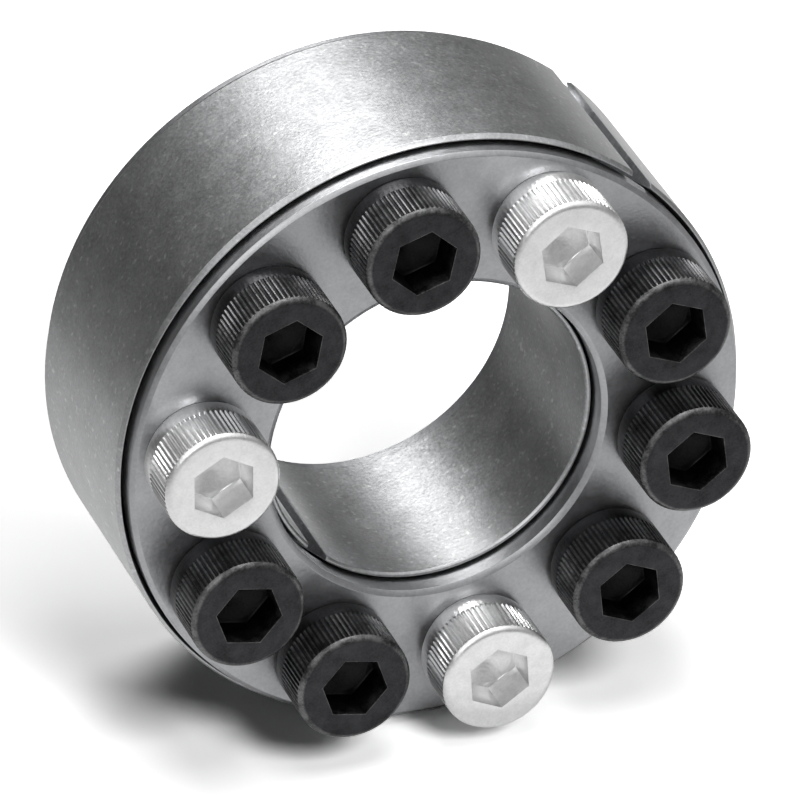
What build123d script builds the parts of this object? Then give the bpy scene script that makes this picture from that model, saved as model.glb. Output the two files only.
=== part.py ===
from build123d import *
import math
import os

# Keyless shaft locking assembly, millimetres, standing on its rear thrust ring with the screw heads up.

# Main sizes
shaft_diameter = 28.0
hub_diameter = 55.0
stack_height = 22.0
outer_ring_width = 19.0
inner_ring_width = 18.0
taper_half_angle = 14.5

# Split rings: wall at the two ends, land at the middle, edge breaks and slits
outer_end_radius = 27.15
inner_end_radius = 14.40
land_width = 1.2
outer_break_radial = 0.25
outer_break_axial = 0.5
inner_break = 0.2
slit_width = 2.2
outer_slit_azimuth = 200.0
inner_slit_azimuth = 18.5

# Thrust rings
rim_radius = 26.8
rim_chamfer_radial = 0.4
rim_chamfer_axial = 0.3
bore_radius = 14.65
bore_chamfer_radial = 0.5
bore_chamfer_axial = 0.3
taper_clearance = 0.22
ring_split_gap = 2.4
inner_corner_break = 0.15

# Screws: M6 socket-head cap screws, 20 mm under the head
screw_count = 10
screw_circle_radius = 21.05
thread_radius = 2.95
tapped_radius = 3.0
clearance_radius = 3.2
screw_length = 20.0
tip_chamfer = 0.5
head_radius = 5.0
head_height = 6.0
head_top_chamfer_radial = 0.45
head_top_chamfer_axial = 0.4
head_seat_chamfer_radial = 0.4
head_seat_chamfer_axial = 0.6
socket_across_flats = 5.0
socket_depth = 3.2
socket_cone_radius = 2.3
socket_cone_depth = 0.8

# Extraction holes: three of the front holes are tapped larger, to push the rings apart
extraction_radius = 3.4
extraction_sink_radius = 4.1
tapped_sink_radius = 3.3
extraction_screws = (3, 7, 10)

# Turn of each hexagon socket, in degrees, in screw order from the +X axis
socket_turns = (21, 20.5, 6.5, 8.5, 9.5, 10.5, 10.5, 50, 51.5, 2.5)

slope = math.tan(math.radians(taper_half_angle))
middle = stack_height / 2
outer_top = middle + outer_ring_width / 2
inner_top = middle + inner_ring_width / 2
land_top = middle + land_width / 2
hub_radius = hub_diameter / 2
shaft_radius = shaft_diameter / 2
outer_land_radius = outer_end_radius - (outer_top - land_top) * slope
inner_land_radius = inner_end_radius + (inner_top - land_top) * slope
thrust_foot = middle + ring_split_gap / 2
head_top = stack_height + head_height


def outer_taper(height):
    """Radius of the outer ring's inside taper at a height above the middle."""
    return outer_end_radius - (outer_top - height) * slope


def inner_taper(height):
    """Radius of the inner ring's outside taper at a height above the middle."""
    return inner_end_radius + (inner_top - height) * slope


def thrust_profile():
    """Half section of the front thrust ring, from its top corner round to the bore."""
    rim_end = outer_top - (outer_end_radius - taper_clearance - rim_radius) / slope
    bore_end = inner_top - (bore_radius - inner_end_radius - taper_clearance) / slope
    foot_outer = outer_taper(thrust_foot) - taper_clearance
    foot_inner = inner_taper(thrust_foot) + taper_clearance
    return [
        (bore_radius + bore_chamfer_radial, stack_height),
        (rim_radius - rim_chamfer_radial, stack_height),
        (rim_radius, stack_height - rim_chamfer_axial),
        (rim_radius, rim_end),
        (foot_outer + inner_corner_break * slope, thrust_foot + inner_corner_break),
        (foot_outer - inner_corner_break, thrust_foot),
        (foot_inner + inner_corner_break, thrust_foot),
        (foot_inner - inner_corner_break * slope, thrust_foot + inner_corner_break),
        (bore_radius, bore_end),
        (bore_radius, stack_height - bore_chamfer_axial),
    ]


def mirrored(points):
    """The same half section turned over about the middle plane."""
    return [(radius, stack_height - height) for radius, height in points]


# Front thrust ring, with seven clearance holes and three larger extraction holes
with BuildPart() as front_thrust_ring:
    with BuildSketch(Plane.XZ):
        with BuildLine():
            Polyline(*thrust_profile(), close=True)
        make_face()
    revolve(axis=Axis.Z)
    with Locations((0, 0, stack_height)):
        for number in range(1, screw_count + 1):
            azimuth = (number - 1) * 360 / screw_count
            with PolarLocations(screw_circle_radius, 1, start_angle=azimuth):
                if number in extraction_screws:
                    CounterSinkHole(extraction_radius, extraction_sink_radius, counter_sink_angle=90)
                else:
                    Hole(clearance_radius)
front_thrust_ring.part.label = "front_thrust_ring"

# Rear thrust ring, with ten tapped holes right through
with BuildPart() as rear_thrust_ring:
    with BuildSketch(Plane.XZ):
        with BuildLine():
            Polyline(*mirrored(thrust_profile()), close=True)
        make_face()
    revolve(axis=Axis.Z)
    with Locations(Plane.XY.rotated((180, 0, 0))):
        with PolarLocations(screw_circle_radius, screw_count):
            CounterSinkHole(tapped_radius, tapped_sink_radius, counter_sink_angle=90)
rear_thrust_ring.part.label = "rear_thrust_ring"

# Outer split ring: plain outside, two tapers inside, one slit
with BuildPart() as outer_ring:
    with BuildSketch(Plane.XZ):
        with BuildLine():
            upper = [
                (outer_land_radius, land_top),
                (outer_end_radius, outer_top),
                (hub_radius - outer_break_radial, outer_top),
                (hub_radius, outer_top - outer_break_axial),
            ]
            Polyline(*upper, *reversed(mirrored(upper)), close=True)
        make_face()
    revolve(axis=Axis.Z)
    with BuildSketch(Plane.XY.rotated((0, 0, outer_slit_azimuth))):
        with Locations((hub_radius, 0)):
            Rectangle(hub_radius, slit_width)
    extrude(amount=stack_height, mode=Mode.SUBTRACT)
outer_ring.part.label = "outer_ring"

# Inner split ring: plain bore, two tapers outside, one slit
with BuildPart() as inner_ring:
    with BuildSketch(Plane.XZ):
        with BuildLine():
            upper = [
                (shaft_radius, inner_top - inner_break),
                (shaft_radius + inner_break, inner_top),
                (inner_end_radius, inner_top),
                (inner_land_radius, land_top),
            ]
            Polyline(*upper, *reversed(mirrored(upper)), close=True)
        make_face()
    revolve(axis=Axis.Z)
    with BuildSketch(Plane.XY.rotated((0, 0, inner_slit_azimuth))):
        with Locations((shaft_radius, 0)):
            Rectangle(shaft_radius, slit_width)
    extrude(amount=stack_height, mode=Mode.SUBTRACT)
inner_ring.part.label = "inner_ring"

os.makedirs("parts", exist_ok=True)
export_step(front_thrust_ring.part, "parts/front_thrust_ring.step")
export_step(rear_thrust_ring.part, "parts/rear_thrust_ring.step")
export_step(outer_ring.part, "parts/outer_ring.step")
export_step(inner_ring.part, "parts/inner_ring.step")

# Clamp screws, each with its own turn of the hexagon socket
seat_radius = head_radius - head_seat_chamfer_radial
for number in range(1, screw_count + 1):
    azimuth = math.radians((number - 1) * 360 / screw_count)
    centre = (screw_circle_radius * math.cos(azimuth), screw_circle_radius * math.sin(azimuth))
    turn = socket_turns[number - 1]
    screw_plane = Plane(origin=(centre[0], centre[1], 0), x_dir=(1, 0, 0), z_dir=(0, -1, 0))
    with BuildPart() as screw:
        with BuildSketch(screw_plane):
            with BuildLine():
                Polyline(
                    (0, stack_height - screw_length),
                    (thread_radius - tip_chamfer, stack_height - screw_length),
                    (thread_radius, stack_height - screw_length + tip_chamfer),
                    (thread_radius, stack_height),
                    (seat_radius, stack_height),
                    (head_radius, stack_height + head_seat_chamfer_axial),
                    (head_radius, head_top - head_top_chamfer_axial),
                    (head_radius - head_top_chamfer_radial, head_top),
                    (0, head_top),
                    close=True,
                )
            make_face()
        revolve(axis=Axis((centre[0], centre[1], 0), (0, 0, 1)))
        with BuildSketch(Plane.XY.offset(head_top)):
            with Locations(centre):
                RegularPolygon(socket_across_flats / 2, 6, major_radius=False, rotation=turn)
        extrude(amount=-socket_depth, mode=Mode.SUBTRACT)
        with BuildSketch(screw_plane):
            with BuildLine():
                Polyline(
                    (0, head_top - socket_depth),
                    (socket_cone_radius, head_top - socket_depth),
                    (0, head_top - socket_depth - socket_cone_depth),
                    close=True,
                )
            make_face()
        revolve(axis=Axis((centre[0], centre[1], 0), (0, 0, 1)), mode=Mode.SUBTRACT)
    screw.part.label = f"screw_{number}"
    export_step(screw.part, f"parts/screw_{number}.step")
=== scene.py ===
import math

import bmesh
import bpy
from mathutils import Matrix, Vector


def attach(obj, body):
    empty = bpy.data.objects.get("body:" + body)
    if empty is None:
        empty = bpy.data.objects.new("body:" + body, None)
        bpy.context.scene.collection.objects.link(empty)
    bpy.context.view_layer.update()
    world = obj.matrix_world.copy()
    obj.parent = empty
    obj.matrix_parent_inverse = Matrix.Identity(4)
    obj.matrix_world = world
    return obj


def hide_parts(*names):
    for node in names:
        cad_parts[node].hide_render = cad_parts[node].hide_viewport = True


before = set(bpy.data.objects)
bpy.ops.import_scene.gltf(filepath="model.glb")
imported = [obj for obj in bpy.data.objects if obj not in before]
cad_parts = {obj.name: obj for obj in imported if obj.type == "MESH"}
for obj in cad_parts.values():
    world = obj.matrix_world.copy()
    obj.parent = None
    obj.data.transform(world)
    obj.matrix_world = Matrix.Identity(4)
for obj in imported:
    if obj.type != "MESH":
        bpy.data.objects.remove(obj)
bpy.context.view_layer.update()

bl_info = {
    "name": "Shaft locking assembly",
    "version": (1, 0, 0),
    "blender": (4, 5, 0),
    "location": "View3D > Sidebar > Locking assembly",
    "description": "Split tapered rings between two thrust rings, drawn together by socket-head screws",
    "category": "Add Mesh",
}

MM = 0.001
SCREWS = 10
BRIGHT_SCREWS = (3, 7, 10)
# Turn of each hexagon socket in degrees, in screw order from the +X axis
SOCKET_TURNS = (21, 20.5, 6.5, 8.5, 9.5, 10.5, 10.5, 50, 51.5, 2.5)

# Rings, in millimetres as in the CAD model, with heights from the rear thrust ring's outer face
STACK = 22.0
MIDDLE = STACK / 2
TAPER_SLOPE = math.tan(math.radians(14.5))
HUB_RADIUS = 27.5
HUB_BREAK = 0.25
HUB_BREAK_HEIGHT = 0.5
OUTER_END_RADIUS = 27.15
OUTER_TOP = 20.5
SHAFT_RADIUS = 14.0
SHAFT_BREAK = 0.2
INNER_END_RADIUS = 14.4
INNER_TOP = 20.0
LAND_TOP = 11.6
RIM_RADIUS = 26.8
RIM_CHAMFER = 0.4
BORE_RADIUS = 14.65
BORE_CHAMFER = 0.5
CHAMFER_HEIGHT = 0.3
TAPER_CLEARANCE = 0.22
THRUST_FOOT = 12.2
FOOT_BREAK = 0.15
FOOT_LEAN = 0.04

# Holes and threads, in millimetres
CLEARANCE_HOLE = 3.2
EXTRACTION_HOLE = 3.4
EXTRACTION_SINK = 4.1
TAPPED_SINK = 3.3
TAPPED_SINK_DEPTH = 0.9
CUT_PAST = 0.5
THREAD_PITCH = 1.0
SHANK_CREST = 2.95
SHANK_ROOT = 2.4
SHANK_END = 2.0
TAP_CREST = 3.05
TAP_ROOT = 2.5

# Metres: points closer than this belong together on a seam, and after a cut
SEAM_REACH = 2e-7
CUT_REACH = 5e-7

# Fitted to the photograph: the camera's place in millimetres, its directions and its focal length in pixels
CAMERA_PLACE = Vector((21.95097292, -464.91874822, 636.87447845))
CAMERA_RIGHT = Vector((-0.83339619, 0.42866352, 0.34885294))
CAMERA_UP = Vector((-0.55199533, -0.67691596, -0.48691472))
FOCAL_PIXELS = 9326.0165
PICTURE_WIDTH = 800
SENSOR_WIDTH = 36.0

# The paper, with the object lying on its outer wall, and the lowest cards just above it, in metres
CENTRE = Vector((0, 0, MIDDLE * MM))
PAPER_DROP = 0.02753
CARD_DROP = 0.0270
ROOM_RADIUS = 1.0
PAPER_RADIUS = 1.2


def linear(code):
    """A colour written as an sRGB hex code, as linear red, green and blue."""
    parts = [int(code[i:i + 2], 16) / 255 for i in (1, 3, 5)]
    return [p / 12.92 if p <= 0.04045 else ((p + 0.055) / 1.055) ** 2.4 for p in parts]


def add_node(tree, kind, inputs=None, **settings):
    """Adds a node to a tree, with its options, its values and the sockets that feed it."""
    node = tree.nodes.new(kind)
    for name, value in settings.items():
        setattr(node, name, value)
    for key, value in (inputs or {}).items():
        if isinstance(value, bpy.types.Node):
            value = value.outputs[0]
        if isinstance(value, bpy.types.NodeSocket):
            tree.links.new(value, node.inputs[key])
        else:
            node.inputs[key].default_value = value
    return node


def add_values(mesh, label, numbers):
    """Gives each point of a mesh a number under a label."""
    layer = mesh.attributes.new(label, "FLOAT", "POINT")
    layer.data.foreach_set("value", numbers)


def link(name, mesh):
    """A new object in the scene."""
    piece = bpy.data.objects.new(name, mesh)
    bpy.context.scene.collection.objects.link(piece)
    return piece


def new_tree(name, sockets):
    """A geometry tree with a mesh in and out, and named inputs for its sizes."""
    tree = bpy.data.node_groups.new(name, "GeometryNodeTree")
    tree.interface.new_socket("Geometry", in_out="INPUT", socket_type="NodeSocketGeometry")
    for label, kind, default in sockets:
        socket = tree.interface.new_socket(label, in_out="INPUT", socket_type=kind)
        if default is not None:
            socket.default_value = default
    tree.interface.new_socket("Geometry", in_out="OUTPUT", socket_type="NodeSocketGeometry")
    return tree, tree.nodes.new("NodeGroupInput"), tree.nodes.new("NodeGroupOutput")


def end_tree(tree, source, out, geometry):
    """Ends a geometry tree with a real mesh in its finish."""
    real = add_node(tree, "GeometryNodeRealizeInstances", {"Geometry": geometry})
    finished = add_node(tree, "GeometryNodeSetMaterial", {
        "Geometry": real, "Material": source.outputs["Finish"]})
    tree.links.new(finished.outputs[0], out.inputs[0])
    return tree


def run_tree(points, tree, values, name, attributes=None):
    """Runs a geometry tree on a chain of points and keeps the result as a plain mesh."""
    mesh = bpy.data.meshes.new(name + "_source")
    mesh.from_pydata([Vector(p) for p in points], [], [])
    for label, numbers in (attributes or {}).items():
        add_values(mesh, label, numbers)
    source = link(name + "_source", mesh)
    modifier = source.modifiers.new(tree.name, "NODES")
    modifier.node_group = tree
    for item in tree.interface.items_tree:
        if item.in_out == "INPUT" and item.name in values:
            modifier[item.identifier] = values[item.name]
    graph = bpy.context.evaluated_depsgraph_get()
    made = bpy.data.meshes.new_from_object(source.evaluated_get(graph))
    made.name = name
    source.modifiers.remove(modifier)
    bpy.data.objects.remove(source)
    bpy.data.meshes.remove(mesh)
    return link(name, made)


def softened(points, radius):
    """A closed half section with each sharp corner rounded by a small arc."""
    result = []
    for i, here in enumerate(points):
        corner = Vector(here)
        before = Vector(points[i - 1]) - corner
        after = Vector(points[(i + 1) % len(points)]) - corner
        turn = math.pi - before.angle(after)
        if turn < math.radians(8):
            result.append(here)
            continue
        cut = min(radius * math.tan(turn / 2), 0.4 * before.length, 0.4 * after.length)
        start = corner + before.normalized() * cut
        end = corner + after.normalized() * cut
        for t in (0.0, 0.5, 1.0):
            point = start.lerp(corner, t).lerp(corner.lerp(end, t), t)
            result.append((point.x, point.y))
    return result


def turned_over(points):
    """A half section turned over about the middle plane."""
    return [(r, STACK - z) for r, z in points]


def section(points):
    """Points of a half section, radius and height in millimetres, as points in space in metres."""
    return [(r * MM, 0, z * MM) for r, z in points]


def point_grid(tree, chain, count, segments, rows):
    """A grid with a column for each step round and a row for each point, and where its points go."""
    position = add_node(tree, "GeometryNodeInputPosition")
    columns = add_node(tree, "ShaderNodeMath", {0: segments, 1: 1.0}, operation="ADD")
    grid = add_node(tree, "GeometryNodeMeshGrid", {"Vertices X": columns, "Vertices Y": rows})
    # The grid runs from -0.5 to 0.5 both ways
    x, y, _ = add_node(tree, "ShaderNodeSeparateXYZ", {0: position}).outputs
    around = add_node(tree, "ShaderNodeMath", {0: x, 1: 0.5}, operation="ADD")
    along = add_node(tree, "ShaderNodeMath", {0: y, 1: 0.5}, operation="ADD")
    last_row = add_node(tree, "ShaderNodeMath", {0: rows, 1: 1.0}, operation="SUBTRACT")
    row = add_node(tree, "ShaderNodeMath", {0: along, 1: last_row}, operation="MULTIPLY")
    whole = add_node(tree, "ShaderNodeMath", {0: row}, operation="ROUND")
    # The last row of a closed section is its first point again
    number = add_node(tree, "ShaderNodeMath", {0: whole, 1: count}, operation="MODULO")
    at = add_node(tree, "GeometryNodeSampleIndex", {
        "Geometry": chain, "Value": position, "Index": number}, data_type="FLOAT_VECTOR")
    radius, _, height = add_node(tree, "ShaderNodeSeparateXYZ", {0: at}).outputs
    return grid, around, number, radius, height


def wind(tree, grid, radius, height, angle):
    """Carries each point of a grid to its radius, height and angle about Z, and merges the seam."""
    spoke = add_node(tree, "ShaderNodeCombineXYZ", {"X": radius, "Z": height})
    spun = add_node(tree, "ShaderNodeVectorRotate", {"Vector": spoke, "Angle": angle}, rotation_type="Z_AXIS")
    moved = add_node(tree, "GeometryNodeSetPosition", {"Geometry": grid, "Position": spun})
    return add_node(tree, "GeometryNodeMergeByDistance", {"Geometry": moved, "Distance": SEAM_REACH})


def turned_tree():
    """A half section turned about Z, with an optional slit, knurl and hexagon."""
    tree, source, out = new_tree("Turned section", [
        ("Segments", "NodeSocketInt", 256),
        ("Slit Width", "NodeSocketFloat", 0.0),
        ("Slit Azimuth", "NodeSocketFloat", 0.0),
        ("Closed Section", "NodeSocketInt", 1),
        ("Ridges", "NodeSocketInt", 1),
        ("Ridge Depth", "NodeSocketFloat", 0.0),
        ("Finish", "NodeSocketMaterial", None),
    ])
    half_section = source.outputs["Geometry"]
    size = add_node(tree, "GeometryNodeAttributeDomainSize", {"Geometry": half_section})
    count = size.outputs["Point Count"]
    rows = add_node(tree, "ShaderNodeMath", {0: count, 1: source.outputs["Closed Section"]}, operation="ADD")
    grid, around, number, reach, height = point_grid(
        tree, half_section, count, source.outputs["Segments"], rows)
    shares = {}
    for label in ("knurl", "hexagon"):
        named = add_node(tree, "GeometryNodeInputNamedAttribute", {"Name": label})
        shares[label] = add_node(tree, "GeometryNodeSampleIndex", {
            "Geometry": half_section, "Value": named, "Index": number})
    # The slit's walls are parallel, so the angle that it takes grows towards the centre
    slit_width = source.outputs["Slit Width"]
    half_slit = add_node(tree, "ShaderNodeMath", {0: slit_width, 1: 0.5}, operation="MULTIPLY")
    safe_radius = add_node(tree, "ShaderNodeMath", {0: reach, 1: 1e-6}, operation="MAXIMUM")
    share = add_node(tree, "ShaderNodeMath", {0: half_slit, 1: safe_radius}, operation="DIVIDE")
    open_angle = add_node(tree, "ShaderNodeMath", {0: share}, operation="ARCSINE")
    closed = add_node(tree, "ShaderNodeMath", {0: open_angle, 1: -2.0, 2: math.tau}, operation="MULTIPLY_ADD")
    swept = add_node(tree, "ShaderNodeMath", {0: around, 1: closed, 2: open_angle}, operation="MULTIPLY_ADD")
    azimuth = add_node(tree, "ShaderNodeMath", {0: swept, 1: source.outputs["Slit Azimuth"]}, operation="ADD")
    # Hexagon: the radius grows from the flat's middle to the corner, with corners at multiples of 60 degrees
    in_sixth = add_node(tree, "ShaderNodeMath", {0: azimuth, 1: math.pi / 3}, operation="FLOORED_MODULO")
    from_flat = add_node(tree, "ShaderNodeMath", {0: in_sixth, 1: math.pi / 6}, operation="SUBTRACT")
    cosine = add_node(tree, "ShaderNodeMath", {0: from_flat}, operation="COSINE")
    flat_radius = add_node(tree, "ShaderNodeMath", {0: reach, 1: cosine}, operation="DIVIDE")
    shaped = add_node(tree, "ShaderNodeMix", {0: shares["hexagon"], 2: reach, 3: flat_radius})
    # Straight knurl: four steps to a ridge, two on its crest and two in its groove
    ridge = add_node(tree, "ShaderNodeMath", {0: around, 1: source.outputs["Ridges"]}, operation="MULTIPLY")
    quarter = add_node(tree, "ShaderNodeMath", {0: ridge, 1: 4.0}, operation="MULTIPLY")
    step = add_node(tree, "ShaderNodeMath", {0: quarter}, operation="ROUND")
    phase = add_node(tree, "ShaderNodeMath", {0: step, 1: 4.0}, operation="MODULO")
    in_groove = add_node(tree, "ShaderNodeMath", {0: phase, 1: 1.5}, operation="GREATER_THAN")
    cut = add_node(tree, "ShaderNodeMath", {0: in_groove, 1: shares["knurl"]}, operation="MULTIPLY")
    depth = add_node(tree, "ShaderNodeMath", {0: cut, 1: source.outputs["Ridge Depth"]}, operation="MULTIPLY")
    radius = add_node(tree, "ShaderNodeMath", {0: shaped, 1: depth}, operation="SUBTRACT")
    return end_tree(tree, source, out, wind(tree, grid, radius, height, azimuth))


def thread_tree():
    """A chain of crests and roots wound into a right-hand thread, cut off flat at both ends."""
    tree, source, out = new_tree("Screw thread", [
        ("Segments", "NodeSocketInt", 48),
        ("Pitch", "NodeSocketFloat", 0.001),
        ("Bottom", "NodeSocketFloat", 0.0),
        ("Top", "NodeSocketFloat", 0.01),
        ("Root Radius", "NodeSocketFloat", 0.0024),
        ("Finish", "NodeSocketMaterial", None),
    ])
    chain = source.outputs["Geometry"]
    bottom = source.outputs["Bottom"]
    top = source.outputs["Top"]
    count = add_node(tree, "GeometryNodeAttributeDomainSize", {"Geometry": chain}).outputs["Point Count"]
    grid, around, _, reach, start = point_grid(tree, chain, count, source.outputs["Segments"], count)
    # The chain climbs by one pitch in each turn, and everything past an end is drawn in to the root
    climbed = add_node(tree, "ShaderNodeMath", {
        0: around, 1: source.outputs["Pitch"], 2: start}, operation="MULTIPLY_ADD")
    above = add_node(tree, "ShaderNodeMath", {0: climbed, 1: bottom}, operation="MAXIMUM")
    height = add_node(tree, "ShaderNodeMath", {0: above, 1: top}, operation="MINIMUM")
    from_bottom = add_node(tree, "ShaderNodeMath", {0: height, 1: bottom}, operation="SUBTRACT")
    from_top = add_node(tree, "ShaderNodeMath", {0: top, 1: height}, operation="SUBTRACT")
    nearest = add_node(tree, "ShaderNodeMath", {0: from_bottom, 1: from_top}, operation="MINIMUM")
    root = source.outputs["Root Radius"]
    allowed = add_node(tree, "ShaderNodeMath", {0: nearest, 1: root}, operation="ADD")
    radius = add_node(tree, "ShaderNodeMath", {0: reach, 1: allowed}, operation="MINIMUM")
    angle = add_node(tree, "ShaderNodeMath", {0: around, 1: math.tau}, operation="MULTIPLY")
    return end_tree(tree, source, out, wind(tree, grid, radius, height, angle))


def circle_tree():
    """One copy of a part at its own place on the screw circle, turned by its own angle."""
    tree, source, out = new_tree("Place on circle", [
        ("Part", "NodeSocketObject", None),
        ("Count", "NodeSocketInt", 10),
        ("Place", "NodeSocketInt", 0),
        ("Circle Radius", "NodeSocketFloat", 0.021),
        ("Finish", "NodeSocketMaterial", None),
    ])
    part = add_node(tree, "GeometryNodeObjectInfo", {"Object": source.outputs["Part"]})
    circle = add_node(tree, "GeometryNodeMeshCircle", {
        "Vertices": source.outputs["Count"], "Radius": source.outputs["Circle Radius"]})
    index = add_node(tree, "GeometryNodeInputIndex")
    chosen = add_node(tree, "FunctionNodeCompare", {
        2: index, 3: source.outputs["Place"]}, data_type="INT", operation="EQUAL")
    turns = add_node(tree, "GeometryNodeInputNamedAttribute", {"Name": "turn"})
    own_turn = add_node(tree, "GeometryNodeSampleIndex", {
        "Geometry": source.outputs["Geometry"], "Value": turns, "Index": index})
    rotation = add_node(tree, "ShaderNodeCombineXYZ", {"Z": own_turn})
    placed = add_node(tree, "GeometryNodeInstanceOnPoints", {
        "Points": circle, "Selection": chosen,
        "Instance": part.outputs["Geometry"], "Rotation": rotation})
    return end_tree(tree, source, out, placed)


def merge_close(work, reach):
    """Merges the points of a mesh that are closer than the reach, and what shrinks to nothing."""
    bmesh.ops.remove_doubles(work, verts=work.verts, dist=reach)
    bmesh.ops.dissolve_degenerate(work, edges=work.edges, dist=reach / 2)


def clean(piece, fill=True):
    """Merges doubles, closes open rims and turns every face outwards."""
    work = bmesh.new()
    work.from_mesh(piece.data)
    merge_close(work, SEAM_REACH)
    rims = [e for e in work.edges if e.is_boundary]
    if fill and rims:
        bmesh.ops.holes_fill(work, edges=rims, sides=0)
    bmesh.ops.recalc_face_normals(work, faces=work.faces)
    work.to_mesh(piece.data)
    work.free()
    return piece


def apply_modifiers(piece):
    """Applies the modifiers of a piece."""
    graph = bpy.context.evaluated_depsgraph_get()
    made = bpy.data.meshes.new_from_object(piece.evaluated_get(graph))
    piece.modifiers.clear()
    old = piece.data
    piece.data = made
    made.name = piece.name
    bpy.data.meshes.remove(old)


def combine(piece, other, operation):
    """Joins another closed piece to this one, or cuts it out, and removes the other."""
    modifier = piece.modifiers.new("combine", "BOOLEAN")
    modifier.operation = operation
    modifier.solver = "EXACT"
    modifier.object = other
    apply_modifiers(piece)
    bpy.data.objects.remove(other)
    # The boolean leaves edges far under a micron, and with them a later one can close a hole
    work = bmesh.new()
    work.from_mesh(piece.data)
    merge_close(work, CUT_REACH)
    work.to_mesh(piece.data)
    work.free()


def dress(piece, angle=32, edge=0.0):
    """Rounds the sharp edges where asked, and shades flats flat and curves smooth."""
    if edge:
        bevel = piece.modifiers.new("edge", "BEVEL")
        bevel.width = edge
        bevel.segments = 2
        bevel.limit_method = "ANGLE"
        bevel.angle_limit = math.radians(50)
        apply_modifiers(piece)
    piece.data.shade_smooth()
    piece.data.set_sharp_from_angle(angle=math.radians(angle))
    weighted = piece.modifiers.new("flats", "WEIGHTED_NORMAL")
    weighted.keep_sharp = True
    weighted.weight = 100
    apply_modifiers(piece)


def keep(piece, body, node):
    """The piece stands for its CAD node, which it hides, and moves with its body."""
    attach(piece, body)
    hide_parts(node)


def coordinates(tree):
    """Object coordinates in millimetres, which every pattern is scaled in."""
    place = add_node(tree, "ShaderNodeTexCoord").outputs["Object"]
    return add_node(tree, "ShaderNodeMapping", {"Vector": place, "Scale": (1000, 1000, 1000)})


def metal(name, color, rough, rough_spread, tone, patch_mm, grain_mm, grain_share, bump_mm,
          fleck=0.0, wear=0.0, recess=0.0, marks_mm=0.0, marks_depth_mm=0.0):
    """A metal with patches and grain and, where asked, flecks, rubbed crests, painted shade in sockets and
    turning marks.
    """
    material = bpy.data.materials.new(name)
    material.use_nodes = True
    tree = material.node_tree
    shader = tree.nodes["Principled BSDF"]
    shader.inputs["Metallic"].default_value = 1.0
    place = coordinates(tree)
    # Broad patches, a few millimetres across, as oil, handling and grinding leave them; the grit's pits and
    # glints, drawn at 0.2 to 0.35 mm, coarser than the real 0.05 mm; and its relief, smoother than its tone
    patch, grain, grit = (
        add_node(tree, "ShaderNodeTexNoise", {
            "Vector": place, "Scale": 1 / size, "Detail": detail, "Roughness": roughness})
        for size, detail, roughness in ((patch_mm, 4.0, 0.6), (grain_mm, 3.0, 0.7), (grain_mm, 1.0, 0.5)))
    # A Mix node's sockets go by number: 0 is the share, 2 and 3 are the two values, 6 and 7 the two colours
    mixed = add_node(tree, "ShaderNodeMix", {0: grain_share, 2: patch, 3: grain})
    # The noise keeps to the middle of its range, so the ramp's ends stand there too
    ramp = add_node(tree, "ShaderNodeValToRGB", {"Fac": mixed})
    for end, position, gain in zip(ramp.color_ramp.elements, (0.34, 0.66), (1 - tone, 1 + tone)):
        end.position = position
        end.color = [min(1, c * gain) for c in linear(color)] + [1]
    shade = ramp.outputs["Color"]
    if fleck:
        # Pale flecks where the grit has cut bright metal, about 0.25 mm across and a few millimetres apart
        dots = add_node(tree, "ShaderNodeTexNoise", {
            "Vector": place, "Scale": 1 / 0.55, "Detail": 1.0, "Roughness": 0.5})
        cut = add_node(tree, "ShaderNodeMapRange", {
            "Value": dots, "From Min": 0.62, "From Max": 0.8, "To Max": fleck})
        paler = add_node(tree, "ShaderNodeMix", {
            0: cut, 6: shade, 7: linear("#F6F6F6") + [1]}, data_type="RGBA")
        shade = paler.outputs[2]
    if wear:
        # Handling and the key rub the oxide thin on crests and edges, in patches, down to grey steel
        rubbed = add_node(tree, "ShaderNodeAttribute", attribute_name="wear")
        patchy = add_node(tree, "ShaderNodeMapRange", {
            "Value": mixed, "From Min": 0.42, "From Max": 0.6, "To Min": 0.1, "To Max": wear})
        share = add_node(tree, "ShaderNodeMath", {0: rubbed.outputs["Fac"], 1: patchy}, operation="MULTIPLY")
        greyer = add_node(tree, "ShaderNodeMix", {
            0: share, 6: shade, 7: linear("#A0A0A0") + [1]}, data_type="RGBA")
        shade = greyer.outputs[2]
    if recess:
        # Painted shade, with some oil: a socket darkens towards its bottom, the deeper the darker
        depth = add_node(tree, "ShaderNodeAttribute", attribute_name="recess")
        left = add_node(tree, "ShaderNodeMath", {
            0: depth.outputs["Fac"], 1: -recess, 2: 1.0}, operation="MULTIPLY_ADD")
        darker = add_node(tree, "ShaderNodeVectorMath", {0: shade, "Scale": left}, operation="SCALE")
        shade = darker.outputs["Vector"]
    tree.links.new(shade, shader.inputs["Base Color"])
    uneven = add_node(tree, "ShaderNodeMapRange", {
        "Value": mixed, "From Min": 0.3, "From Max": 0.7,
        "To Min": rough * (1 - rough_spread), "To Max": rough * (1 + rough_spread)})
    tree.links.new(uneven.outputs["Result"], shader.inputs["Roughness"])
    relief = add_node(tree, "ShaderNodeBump", {"Height": grit, "Distance": bump_mm * MM})
    if marks_mm:
        # Turning marks: rings about the axis on a face, and hoops up a wall
        x, y, z = add_node(tree, "ShaderNodeSeparateXYZ", {0: place}).outputs
        flat = add_node(tree, "ShaderNodeCombineXYZ", {"X": x, "Y": y})
        radius = add_node(tree, "ShaderNodeVectorMath", {0: flat}, operation="LENGTH").outputs["Value"]
        on_tool = add_node(tree, "ShaderNodeCombineXYZ", {"X": radius, "Y": z})
        marks = add_node(tree, "ShaderNodeTexNoise", {
            "Vector": on_tool, "Scale": 1 / marks_mm, "Detail": 2.0, "Roughness": 0.8})
        relief = add_node(tree, "ShaderNodeBump", {
            "Height": marks, "Normal": relief, "Distance": marks_depth_mm * MM})
    tree.links.new(relief.outputs["Normal"], shader.inputs["Normal"])
    return material


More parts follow.
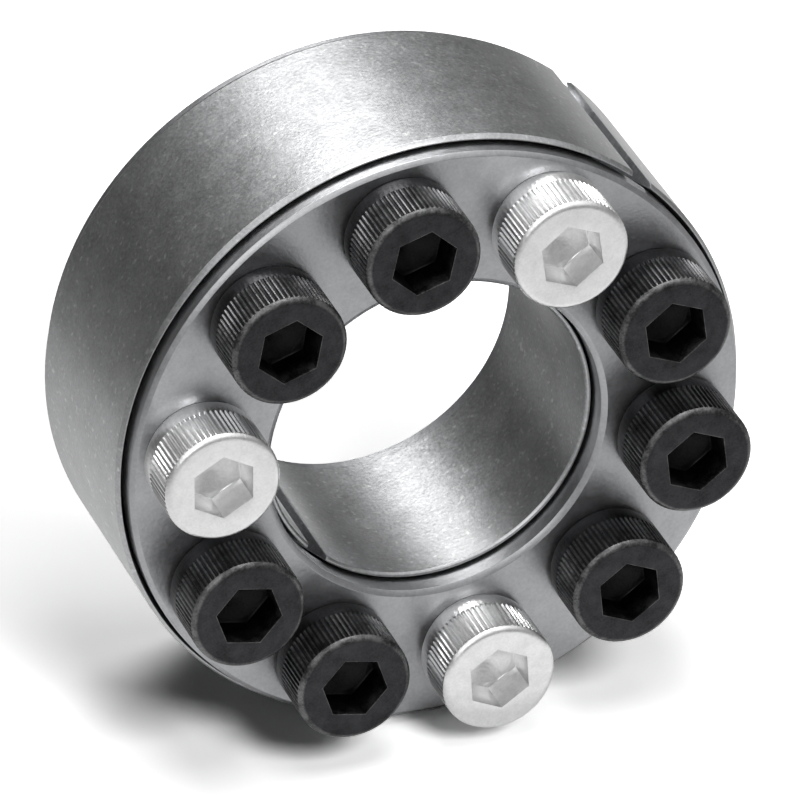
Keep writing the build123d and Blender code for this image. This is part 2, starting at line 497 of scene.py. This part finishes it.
def finishes():
    """The object's five metals. A roughness under about 0.27 leaves single dark pixels on the pale ones."""
    look = bpy.context.scene.locking_finishes
    return {
        # Turned and ground steel: mid grey, satin, with soft patches
        "thrust": metal(
            "turned_thrust_steel", look.thrust_steel, look.thrust_roughness, rough_spread=0.17, tone=0.15,
            patch_mm=2.2, grain_mm=0.3, grain_share=0.5, bump_mm=0.012, marks_mm=0.25, marks_depth_mm=0.003),
        # Ground spring steel: a little brighter, mottled by the grit, with pale flecks
        "split": metal(
            "ground_split_ring_steel", look.split_steel, look.split_roughness, rough_spread=0.15, tone=0.2,
            patch_mm=3.0, grain_mm=0.3, grain_share=0.62, bump_mm=0.009, fleck=0.6,
            marks_mm=0.4, marks_depth_mm=0.002),
        # Sawn slit walls: coarse, sparkling
        "sawn": metal(
            "sawn_slit_steel", look.split_steel, look.sawn_roughness, rough_spread=0.3, tone=0.3,
            patch_mm=1.2, grain_mm=0.35, grain_share=0.5, bump_mm=0.12),
        # Black oxide on alloy steel: near-black, satin, a dark mirror at low angles, with painted shade in
        # its sockets
        "black": metal(
            "black_oxide_steel", look.black_oxide, look.black_roughness, rough_spread=0.3, tone=0.4,
            patch_mm=1.3, grain_mm=0.2, grain_share=0.4, bump_mm=0.015, recess=0.55, wear=0.5),
        # Bright zinc on alloy steel: nearly white, soft gloss, faintly pitted
        "zinc": metal(
            "bright_zinc_steel", look.zinc, look.zinc_roughness, rough_spread=0.09, tone=0.14,
            patch_mm=1.3, grain_mm=0.25, grain_share=0.45, bump_mm=0.02),
    }


def thrust_section(ring, front):
    """A thrust ring's half section: wedge faces that meet the two split rings' tapers."""
    rim_end = OUTER_TOP - (OUTER_END_RADIUS - TAPER_CLEARANCE - RIM_RADIUS) / TAPER_SLOPE
    bore_end = INNER_TOP - (BORE_RADIUS - INNER_END_RADIUS - TAPER_CLEARANCE) / TAPER_SLOPE
    foot_outer = OUTER_END_RADIUS - (OUTER_TOP - THRUST_FOOT) * TAPER_SLOPE - TAPER_CLEARANCE
    foot_inner = INNER_END_RADIUS + (INNER_TOP - THRUST_FOOT) * TAPER_SLOPE + TAPER_CLEARANCE
    points = [
        (BORE_RADIUS + BORE_CHAMFER, STACK), (RIM_RADIUS - RIM_CHAMFER, STACK),
        (RIM_RADIUS, STACK - CHAMFER_HEIGHT), (RIM_RADIUS, rim_end),
        (foot_outer + FOOT_LEAN, THRUST_FOOT + FOOT_BREAK), (foot_outer - FOOT_BREAK, THRUST_FOOT),
        (foot_inner + FOOT_BREAK, THRUST_FOOT), (foot_inner - FOOT_LEAN, THRUST_FOOT + FOOT_BREAK),
        (BORE_RADIUS, bore_end), (BORE_RADIUS, STACK - CHAMFER_HEIGHT),
    ]
    return softened(points if front else turned_over(points), ring.edge_radius / MM)


def split_section(ring, outer):
    """A split ring's half section: one plain wall and two tapers that meet at a land."""
    if outer:
        land = OUTER_END_RADIUS - (OUTER_TOP - LAND_TOP) * TAPER_SLOPE
        upper = [(land, LAND_TOP), (OUTER_END_RADIUS, OUTER_TOP),
                 (HUB_RADIUS - HUB_BREAK, OUTER_TOP), (HUB_RADIUS, OUTER_TOP - HUB_BREAK_HEIGHT)]
    else:
        land = INNER_END_RADIUS + (INNER_TOP - LAND_TOP) * TAPER_SLOPE
        upper = [(SHAFT_RADIUS, INNER_TOP - SHAFT_BREAK), (SHAFT_RADIUS + SHAFT_BREAK, INNER_TOP),
                 (INNER_END_RADIUS, INNER_TOP), (land, LAND_TOP)]
    return softened(upper + turned_over(reversed(upper)), ring.edge_radius / MM)


def turned_ring(name, points, ring, finish, **slit):
    """A ring turned from a closed half section, with a slit where one is given."""
    return run_tree(section(points), TREES["turned"], {
        "Segments": ring.segments, "Closed Section": 1, "Finish": finish, **slit}, name)


def turned_cutter(side):
    """A closed cutter on the Z axis, given by the points up its side."""
    points = [(0, side[0][1]), *side, (0, side[-1][1])]
    return clean(run_tree(section(points), TREES["turned"], {
        "Segments": 48, "Closed Section": 0, "Finish": LOOKS["thrust"]}, "cutter"))


def threaded_rod(name, crest, root, bottom, top, finish):
    """A closed rod on the Z axis with a 60 degree thread."""
    chain = []
    height = bottom - THREAD_PITCH
    while height <= top + 0.01 * THREAD_PITCH:
        chain += [(crest, height), (crest, height + 0.125 * THREAD_PITCH),
                  (root, height + 0.4375 * THREAD_PITCH), (root, height + 0.6875 * THREAD_PITCH)]
        height += THREAD_PITCH
    return clean(run_tree(section(chain), TREES["thread"], {
        "Segments": 48, "Pitch": THREAD_PITCH * MM, "Bottom": bottom * MM, "Top": top * MM,
        "Root Radius": root * MM, "Finish": finish}, name))


def on_circle(part, name, finish, number, radius):
    """A copy of a part at one screw's place on the circle."""
    return run_tree([(0, 0, 0)] * SCREWS, TREES["circle"], {
        "Part": part, "Count": SCREWS, "Place": number - 1, "Circle Radius": radius, "Finish": finish},
        name, {"turn": [math.radians(t) for t in SOCKET_TURNS]})


def cut_holes(piece, cutter, numbers, radius):
    """Cuts a hole at each of the numbered screws and removes the cutter."""
    for number in numbers:
        combine(piece, on_circle(cutter, "hole", LOOKS["thrust"], number, radius), "DIFFERENCE")
    bpy.data.objects.remove(cutter)


def saw_slit_walls(piece, azimuth, width):
    """Gives the two walls of a ring's slit their sawn finish."""
    piece.data.materials.append(LOOKS["sawn"])
    middle = Vector((math.cos(azimuth), math.sin(azimuth), 0))
    across = Vector((-math.sin(azimuth), math.cos(azimuth), 0))
    for face in piece.data.polygons:
        on_wall = abs(abs(face.center.dot(across)) - width / 2) < 0.02 * MM
        if on_wall and face.center.dot(middle) > 0 and abs(face.normal.dot(across)) > 0.99:
            face.material_index = 1


def head_rows(r, top, flat):
    """Radius, height, knurl share and hexagon share, from under a head up and into its socket."""
    return [
        (0, STACK, 0, 0), (r - 0.42, STACK, 0, 0), (r - 0.30, STACK + 0.06, 0, 0),
        (r - 0.02, STACK + 0.56, 0, 0), (r, STACK + 0.68, 0, 0), (r, STACK + 1.85, 0, 0),
        (r, STACK + 1.95, 0.25, 0), (r, STACK + 2.12, 1, 0), (r, top - 0.58, 1, 0),
        (r - 0.02, top - 0.42, 0.45, 0), (r - 0.05, top - 0.36, 0, 0), (r - 0.16, top - 0.20, 0, 0),
        (r - 0.33, top - 0.07, 0, 0), (r - 0.52, top - 0.01, 0, 0), (r - 0.66, top, 0, 0), (3.4, top, 0, 0),
        (flat + 0.10, top, 0, 1), (flat + 0.03, top - 0.02, 0, 1), (flat, top - 0.09, 0, 1),
        (flat, top - 3.2, 0, 1), (flat - 0.06, top - 3.26, 0, 0.6), (flat - 0.12, top - 3.28, 0, 0),
        (flat - 0.2, top - 3.3, 0, 0), (0.9, top - 3.78, 0, 0), (0.3, top - 4.0, 0, 0), (0, top - 4.02, 0, 0),
    ]


def mark_head(head, r, top, flat):
    """Marks how deep each point lies in the socket, for the painted shade there, and which crests and edges
    are rubbed.
    """
    recess = []
    wear = []
    for vertex in head.data.vertices:
        out = r - math.hypot(vertex.co.x, vertex.co.y) / MM
        down = top - vertex.co.z / MM
        in_socket = r - out < 3.1 and down < 4.3
        recess.append(min(1.0, max(0.0, (down - 0.1) / 0.8)) if in_socket else 0.0)
        on_crest = out < 0.02 and 0.5 < down < 3.95
        on_edge = out < 0.4 and down < 0.45
        at_mouth = abs(r - out - flat) < 0.5 and 0.005 < down < 0.3
        wear.append(float(on_crest or on_edge or at_mouth))
    add_values(head.data, "recess", recess)
    add_values(head.data, "wear", wear)


class RingSettings(bpy.types.PropertyGroup):
    segments: bpy.props.IntProperty(
        name="Segments", description="Steps round each ring", default=256, min=64, max=720)
    edge_radius: bpy.props.FloatProperty(
        name="Edge radius", description="Rounding of the turned edges", default=0.08 * MM,
        min=0.0, max=0.5 * MM, unit="LENGTH", precision=5)
    slit_width: bpy.props.FloatProperty(
        name="Slit width", description="Gap in each split ring", default=2.2 * MM,
        min=0.0, max=10 * MM, unit="LENGTH", precision=5)
    outer_slit: bpy.props.FloatProperty(
        name="Outer slit", description="Where the outer ring is slit", default=math.radians(200),
        subtype="ANGLE")
    inner_slit: bpy.props.FloatProperty(
        name="Inner slit", description="Where the inner ring is slit", default=math.radians(18.5),
        subtype="ANGLE")
    circle_radius: bpy.props.FloatProperty(
        name="Screw circle", description="Radius of the circle of screws", default=21.05 * MM,
        unit="LENGTH", precision=5)


class ScrewSettings(bpy.types.PropertyGroup):
    head_radius: bpy.props.FloatProperty(
        name="Head radius", description="Radius over the knurl", default=5 * MM, unit="LENGTH", precision=5)
    head_height: bpy.props.FloatProperty(
        name="Head height", description="Height of the head", default=6 * MM, unit="LENGTH", precision=5)
    across_flats: bpy.props.FloatProperty(
        name="Socket size", description="Width across the hexagon's flats", default=5 * MM,
        unit="LENGTH", precision=5)
    ridges: bpy.props.IntProperty(
        name="Knurl ridges", description="Ridges round the head", default=72, min=12, max=120)
    ridge_depth: bpy.props.FloatProperty(
        name="Knurl depth", description="Depth of the grooves", default=0.14 * MM, unit="LENGTH", precision=5)


class FinishSettings(bpy.types.PropertyGroup):
    thrust_steel: bpy.props.StringProperty(
        name="Thrust ring", description="Colour of the turned steel, sRGB hex code", default="#B4B5B7")
    split_steel: bpy.props.StringProperty(
        name="Split rings", description="Colour of the ground steel, sRGB hex code", default="#BCBDBE")
    black_oxide: bpy.props.StringProperty(
        name="Black screws", description="Colour of the black oxide, sRGB hex code", default="#3C3C3E")
    zinc: bpy.props.StringProperty(
        name="Bright screws", description="Colour of the zinc, sRGB hex code", default="#F6F6F6")
    thrust_roughness: bpy.props.FloatProperty(
        name="Thrust roughness", description="Roughness of the turned steel", default=0.34,
        min=0, max=1, subtype="FACTOR")
    split_roughness: bpy.props.FloatProperty(
        name="Split roughness", description="Roughness of the ground steel", default=0.33,
        min=0, max=1, subtype="FACTOR")
    sawn_roughness: bpy.props.FloatProperty(
        name="Sawn roughness", description="Roughness of the slits' walls", default=0.42,
        min=0, max=1, subtype="FACTOR")
    black_roughness: bpy.props.FloatProperty(
        name="Black roughness", description="Roughness of the black oxide", default=0.36,
        min=0, max=1, subtype="FACTOR")
    zinc_roughness: bpy.props.FloatProperty(
        name="Zinc roughness", description="Roughness of the zinc", default=0.31,
        min=0, max=1, subtype="FACTOR")


class StageSettings(bpy.types.PropertyGroup):
    back_light: bpy.props.FloatProperty(
        name="Back light", description="Power of the soft light behind and above", default=1.6,
        min=0.0, unit="POWER")
    front_light: bpy.props.FloatProperty(
        name="Front light", description="Power of the light at the front right", default=3.0,
        min=0.0, unit="POWER")
    top_light: bpy.props.FloatProperty(
        name="Top light", description="Power of the soft light overhead", default=1.05, min=0.0, unit="POWER")
    surround: bpy.props.FloatProperty(
        name="Surround", description="Strength of the even light", default=0.01,
        min=0.0, max=2.0, subtype="FACTOR")
    overexposure: bpy.props.FloatProperty(
        name="Overexposure", description="How much brighter the camera sees the paper",
        default=0.9, min=0.0, max=2.0)
    near_card: bpy.props.FloatProperty(
        name="Near card", description="Brightness of the near paper's reflection", default=0.8,
        min=0.0, max=2.0)
    horizon: bpy.props.FloatProperty(
        name="Horizon", description="Brightness of the room's dark horizon", default=0.17,
        min=0.0, max=1.0, subtype="FACTOR")
    right_lift: bpy.props.FloatProperty(
        name="Right lift", description="How much brighter the room is on the right",
        default=0.5, min=0.0, max=1.0, subtype="FACTOR")
    back_paper: bpy.props.FloatProperty(
        name="Back paper", description="How much brighter the paper behind the object is", default=1.1,
        min=0.0, max=3.0)
    own_shadow: bpy.props.FloatProperty(
        name="Own shadow", description="How much the object's shadow darkens the paper's reflection",
        default=0.75, min=0.0, max=1.0, subtype="FACTOR")
    window: bpy.props.FloatProperty(
        name="Window", description="Brightness of the soft window in front", default=1.9,
        min=0.0, max=5.0)
    window_spread: bpy.props.FloatProperty(
        name="Window spread", description="Half width of the window's glow", default=math.radians(20),
        min=math.radians(5), max=math.radians(60), subtype="ANGLE")


class LOCKING_OT_thrust_rings(bpy.types.Operator):
    """Makes the front and rear thrust rings with their holes"""
    bl_idname = "locking.thrust_rings"
    bl_label = "Thrust rings"

    def execute(self, context):
        prepare()
        ring = context.scene.locking_rings
        numbers = range(1, SCREWS + 1)
        radius = ring.circle_radius
        front = turned_ring("front_thrust_ring_piece", thrust_section(ring, True), ring, LOOKS["thrust"])
        clean(front, fill=False)
        above = STACK + CUT_PAST
        plain = turned_cutter([(CLEARANCE_HOLE, MIDDLE), (CLEARANCE_HOLE, above)])
        cut_holes(front, plain, [n for n in numbers if n not in BRIGHT_SCREWS], radius)
        sink_foot = STACK - (EXTRACTION_SINK - EXTRACTION_HOLE)
        wide = turned_cutter([(EXTRACTION_HOLE, MIDDLE), (EXTRACTION_HOLE, sink_foot),
                              (EXTRACTION_SINK + CUT_PAST, above)])
        cut_holes(front, wide, BRIGHT_SCREWS, radius)
        dress(front)
        keep(front, "front_ring", "front_thrust_ring")

        rear = turned_ring("rear_thrust_ring_piece", thrust_section(ring, False), ring, LOOKS["thrust"])
        clean(rear, fill=False)
        sink = turned_cutter([(TAPPED_SINK + CUT_PAST, -CUT_PAST),
                              (TAPPED_SINK - TAPPED_SINK_DEPTH, TAPPED_SINK_DEPTH)])
        cut_holes(rear, sink, numbers, radius)
        # Starts on a whole millimetre as the screws' threads do, so that their crests lie in these grooves
        tap = threaded_rod("tap", TAP_CREST, TAP_ROOT, -1.0, MIDDLE, LOOKS["thrust"])
        cut_holes(rear, tap, numbers, radius)
        dress(rear)
        keep(rear, "rear_ring", "rear_thrust_ring")
        return {"FINISHED"}


class LOCKING_OT_split_rings(bpy.types.Operator):
    """Makes the outer and inner split rings with their slits"""
    bl_idname = "locking.split_rings"
    bl_label = "Split rings"

    def execute(self, context):
        prepare()
        ring = context.scene.locking_rings
        for outer, name, body, node, azimuth in (
                (True, "outer_split_ring_piece", "outer_split_ring", "outer_ring", ring.outer_slit),
                (False, "inner_split_ring_piece", "inner_split_ring", "inner_ring", ring.inner_slit)):
            slit = {"Slit Width": ring.slit_width, "Slit Azimuth": azimuth}
            piece = turned_ring(name, split_section(ring, outer), ring, LOOKS["split"], **slit)
            clean(piece)
            saw_slit_walls(piece, azimuth, ring.slit_width)
            dress(piece, edge=0.09 * MM)
            keep(piece, body, node)
        return {"FINISHED"}


class LOCKING_OT_clamp_screws(bpy.types.Operator):
    """Makes the ten socket-head screws, each in its place"""
    bl_idname = "locking.clamp_screws"
    bl_label = "Clamp screws"

    def execute(self, context):
        prepare()
        screw = context.scene.locking_screws
        r = screw.head_radius / MM
        top = STACK + screw.head_height / MM
        flat = screw.across_flats / MM / 2
        rows = head_rows(r, top, flat)
        head = run_tree(section([row[:2] for row in rows]), TREES["turned"], {
            "Segments": screw.ridges * 4, "Closed Section": 0, "Ridges": screw.ridges,
            "Ridge Depth": screw.ridge_depth, "Finish": LOOKS["black"]}, "head",
            {"knurl": [row[2] for row in rows], "hexagon": [row[3] for row in rows]})
        clean(head)
        shank = threaded_rod("shank", SHANK_CREST, SHANK_ROOT, SHANK_END, STACK + 0.4, LOOKS["black"])
        combine(head, shank, "UNION")
        dress(head, angle=28)
        mark_head(head, r, top, flat)
        for number in range(1, SCREWS + 1):
            bright = number in BRIGHT_SCREWS
            look = LOOKS["zinc" if bright else "black"]
            radius = context.scene.locking_rings.circle_radius
            piece = on_circle(head, f"socket_screw_{number}", look, number, radius)
            keep(piece, f"screw_{number}_body", f"screw_{number}")
        bpy.data.objects.remove(head)
        return {"FINISHED"}


class LOCKING_OT_stage(bpy.types.Operator):
    """Makes the pale floor, the lights, the surround and the camera"""
    bl_idname = "locking.stage"
    bl_label = "Stage"

    def execute(self, context):
        scene = context.scene
        scene.view_settings.view_transform = "Standard"
        place_camera(scene)
        lay_paper(scene.locking_stage)
        hang_lights(scene.locking_stage)
        white_room(scene)
        grey_cards(scene.locking_stage)
        return {"FINISHED"}


def stage_frame():
    """The paper's frame: right in the picture and away from the camera, both along the paper, and up."""
    rise = Vector((0, 0, 1)).cross(CAMERA_RIGHT).normalized()
    return Matrix((CAMERA_RIGHT, rise.cross(CAMERA_RIGHT), rise)).transposed().to_4x4()


def direction(azimuth, height):
    """A direction in the paper's frame: degrees round from the camera to the right, and degrees up."""
    a = math.radians(azimuth)
    h = math.radians(height)
    return Vector((math.sin(a) * math.cos(h), -math.cos(a) * math.cos(h), math.sin(h)))


def place_camera(scene):
    """The camera that took the photograph, as fitted to it."""
    lens = bpy.data.cameras.new("camera")
    lens.sensor_width = SENSOR_WIDTH
    lens.lens = FOCAL_PIXELS / PICTURE_WIDTH * SENSOR_WIDTH
    lens.clip_start = 0.05
    lens.clip_end = 20.0
    camera = link("camera", lens)
    turn = Matrix((CAMERA_RIGHT, CAMERA_UP, CAMERA_RIGHT.cross(CAMERA_UP))).transposed().to_4x4()
    camera.matrix_world = Matrix.Translation(CAMERA_PLACE * MM) @ turn
    scene.camera = camera


def lay_down(name, work, material, drop):
    """A stage object made of the work's mesh, in the paper's frame and that far below the object's axis."""
    mesh = bpy.data.meshes.new(name)
    work.to_mesh(mesh)
    work.free()
    mesh.materials.append(material)
    piece = link(name, mesh)
    piece.matrix_world = Matrix.Translation(CENTRE) @ stage_frame() @ Matrix.Translation((0, 0, -drop))
    return piece


def lay_paper(stage):
    """The round sheet of paper under the object."""
    work = bmesh.new()
    bmesh.ops.create_circle(work, cap_ends=True, segments=96, radius=PAPER_RADIUS)
    floor = lay_down("floor", work, paper(stage), PAPER_DROP)


def paper(stage):
    """White paper, overexposed for the camera and clear from below."""
    material = bpy.data.materials.new("white_paper")
    material.use_nodes = True
    tree = material.node_tree
    tree.nodes.remove(tree.nodes["Principled BSDF"])
    # Card of even white with a faint cloudiness, a few centimetres across
    cloud = add_node(tree, "ShaderNodeTexNoise", {
        "Vector": coordinates(tree), "Scale": 1 / 30.0, "Detail": 2.0})
    tone = add_node(tree, "ShaderNodeValToRGB", {"Fac": cloud})
    for end, code in zip(tone.color_ramp.elements, ("#F6F6F6", "#FCFCFC")):
        end.color = linear(code) + [1]
    # Overexposed for the camera, so that half shadows wash out to white and the core stays dark
    path = add_node(tree, "ShaderNodeLightPath")
    gain = add_node(tree, "ShaderNodeMath", {
        0: path.outputs["Is Camera Ray"], 1: stage.overexposure, 2: 1.0}, operation="MULTIPLY_ADD")
    bright = add_node(tree, "ShaderNodeVectorMath", {0: tone, "Scale": gain}, operation="SCALE")
    lit = add_node(tree, "ShaderNodeBsdfDiffuse", {"Color": bright})
    clear = add_node(tree, "ShaderNodeBsdfTransparent")
    facing = add_node(tree, "ShaderNodeNewGeometry")
    mixed = add_node(tree, "ShaderNodeMixShader", {0: facing.outputs["Backfacing"], 1: lit, 2: clear})
    tree.links.new(mixed.outputs[0], tree.nodes["Material Output"].inputs["Surface"])
    return material


def hang_lights(stage):
    """Three soft square lights that the camera doesn't see."""
    # Name, direction, distance and size in metres, and power
    for name, way, distance, size, power in (
            ("back_light", direction(-160, 57), 0.6, 0.3, stage.back_light),
            ("front_light", direction(35, 40), 0.7, 0.24, stage.front_light),
            ("top_light", direction(30, 75), 0.7, 0.3, stage.top_light)):
        way = stage_frame().to_3x3() @ way
        data = bpy.data.lights.new(name, "AREA")
        data.shape = "SQUARE"
        data.size = size
        data.energy = power
        lamp = link(name, data)
        turn = way.to_track_quat("Z", "Y").to_matrix().to_4x4()
        lamp.matrix_world = Matrix.Translation(CENTRE + way * distance) @ turn
        lamp.visible_camera = False
        # The metal would mirror the front light as a hard square
        lamp.visible_glossy = name != "front_light"


def white_room(scene):
    """A world that looks white, directly, in metal and through glass, and gives only a little light."""
    world = bpy.data.worlds.new("white_room")
    scene.world = world
    world.use_nodes = True
    tree = world.node_tree
    path = add_node(tree, "ShaderNodeLightPath")
    seen = add_node(tree, "ShaderNodeMath", {
        0: path.outputs["Is Camera Ray"], 1: path.outputs["Is Glossy Ray"]}, operation="MAXIMUM")
    seen = add_node(tree, "ShaderNodeMath", {
        0: seen, 1: path.outputs["Is Transmission Ray"]}, operation="MAXIMUM")
    level = add_node(tree, "ShaderNodeMix", {0: seen, 2: scene.locking_stage.surround, 3: 1.0})
    background = tree.nodes["Background"]
    tree.links.new(level.outputs[0], background.inputs["Strength"])
    background.inputs["Color"].default_value = (1, 1, 1, 1)


def card_rows(stage):
    """Distance from the object and height above its axis, in metres, and the card's brightness."""
    low = -CARD_DROP
    rows = [(0.024, low, stage.near_card), (0.05, low, stage.near_card), (0.075, low, 0.68),
            (0.145, low, 0.48), (0.45, low, 0.33), (ROOM_RADIUS, low, 0.22)]
    # Degrees above the horizon, and how much brighter than the horizon
    for height, level in ((0, 0.0), (5, 0.0), (10, 0.01), (15, 0.03), (20, 0.06), (25, 0.1),
                          (30, 0.2), (35, 0.3), (40, 0.4)):
        rows.append((ROOM_RADIUS, ROOM_RADIUS * math.tan(math.radians(height)), stage.horizon + level))
    return rows


def card_level(stage, place, turn, radius, level):
    """Brightness of a card at one point, from its row's level and its side of the object."""
    lift = stage.right_lift if radius > 0.1 else 0.1
    side = 1 + lift * math.cos(turn - math.radians(50))
    if place.z < 0:
        # Painted reflection: the paper is lighter behind the object on the right, and lies in its shadow on
        # the left
        lit = math.remainder(turn - math.radians(162), math.tau) / math.radians(14)
        shaded = math.remainder(turn + math.radians(152), math.tau) / math.radians(26)
        gain = stage.back_paper * math.exp(-lit ** 2) if radius > 0.06 else 0
        loss = stage.own_shadow * math.exp(-shaded ** 4) if radius < 0.2 else 0
        side *= 1 + gain - loss
    # A painted soft bright window in the cards' glow, in front of the object and above it
    near = place.angle(direction(-17, 37)) / stage.window_spread
    return level * side + stage.window * math.exp(-near * near)


def grey_cards(stage):
    """Glowing grey cards that only the metal sees, a painted reflection: they dim the far paper and darken
    the horizon.
    """
    count = 96
    work = bmesh.new()
    rings = []
    levels = []
    for radius, height, level in card_rows(stage):
        ring = []
        for k in range(count):
            # Zero is towards the camera, and a quarter turn is to the right
            turn = math.tau * k / count
            place = Vector((radius * math.sin(turn), -radius * math.cos(turn), height))
            ring.append(work.verts.new(place))
            levels.append(card_level(stage, place, turn, radius, level))
        rings.append(ring)
    for below, above in zip(rings, rings[1:]):
        for k in range(count):
            after = (k + 1) % count
            work.faces.new((below[k], below[after], above[after], above[k]))
    band = lay_down("grey_cards", work, card(), 0.0)
    add_values(band.data, "level", levels)
    band.visible_camera = band.visible_diffuse = band.visible_shadow = band.visible_transmission = False


def card():
    """Even glow, as bright as the card's own level says."""
    material = bpy.data.materials.new("grey_card")
    material.use_nodes = True
    tree = material.node_tree
    tree.nodes.remove(tree.nodes["Principled BSDF"])
    level = add_node(tree, "ShaderNodeAttribute", attribute_name="level")
    # Light that has left the paper doesn't find the cards, so that the shadow's core stays dark
    path = add_node(tree, "ShaderNodeLightPath")
    first = add_node(tree, "ShaderNodeMath", {
        0: path.outputs["Diffuse Depth"], 1: 0.5}, operation="LESS_THAN")
    seen = add_node(tree, "ShaderNodeMath", {0: level.outputs["Fac"], 1: first}, operation="MULTIPLY")
    glow = add_node(tree, "ShaderNodeEmission", {"Color": (1, 1, 1, 1), "Strength": seen})
    tree.links.new(glow.outputs[0], tree.nodes["Material Output"].inputs["Surface"])
    return material


class LOCKING_PT_panel(bpy.types.Panel):
    bl_idname = "LOCKING_PT_panel"
    bl_label = "Shaft locking assembly"
    bl_space_type = "VIEW_3D"
    bl_region_type = "UI"
    bl_category = "Locking assembly"

    def draw(self, context):
        layout = self.layout
        for group in SETTINGS:
            settings = getattr(context.scene, group)
            box = layout.box()
            for name in settings.__annotations__:
                box.prop(settings, name)
        for operator in OPERATORS:
            layout.operator(operator.bl_idname)


SETTINGS = {"locking_rings": RingSettings, "locking_screws": ScrewSettings,
            "locking_finishes": FinishSettings, "locking_stage": StageSettings}
OPERATORS = (LOCKING_OT_stage, LOCKING_OT_thrust_rings, LOCKING_OT_split_rings, LOCKING_OT_clamp_screws)
CLASSES = (*SETTINGS.values(), *OPERATORS, LOCKING_PT_panel)
TREES = {}
LOOKS = {}


def prepare():
    """Makes the geometry trees and the finishes, once."""
    if not TREES:
        TREES.update(turned=turned_tree(), thread=thread_tree(), circle=circle_tree())
        LOOKS.update(finishes())


def register():
    for item in CLASSES:
        bpy.utils.register_class(item)
    for name, group in SETTINGS.items():
        setattr(bpy.types.Scene, name, bpy.props.PointerProperty(type=group))


def unregister():
    for name in SETTINGS:
        delattr(bpy.types.Scene, name)
    for item in reversed(CLASSES):
        bpy.utils.unregister_class(item)


def main():
    register()
    bpy.ops.locking.stage()
    bpy.ops.locking.thrust_rings()
    bpy.ops.locking.split_rings()
    bpy.ops.locking.clamp_screws()


if __name__ == "__main__":
    main()
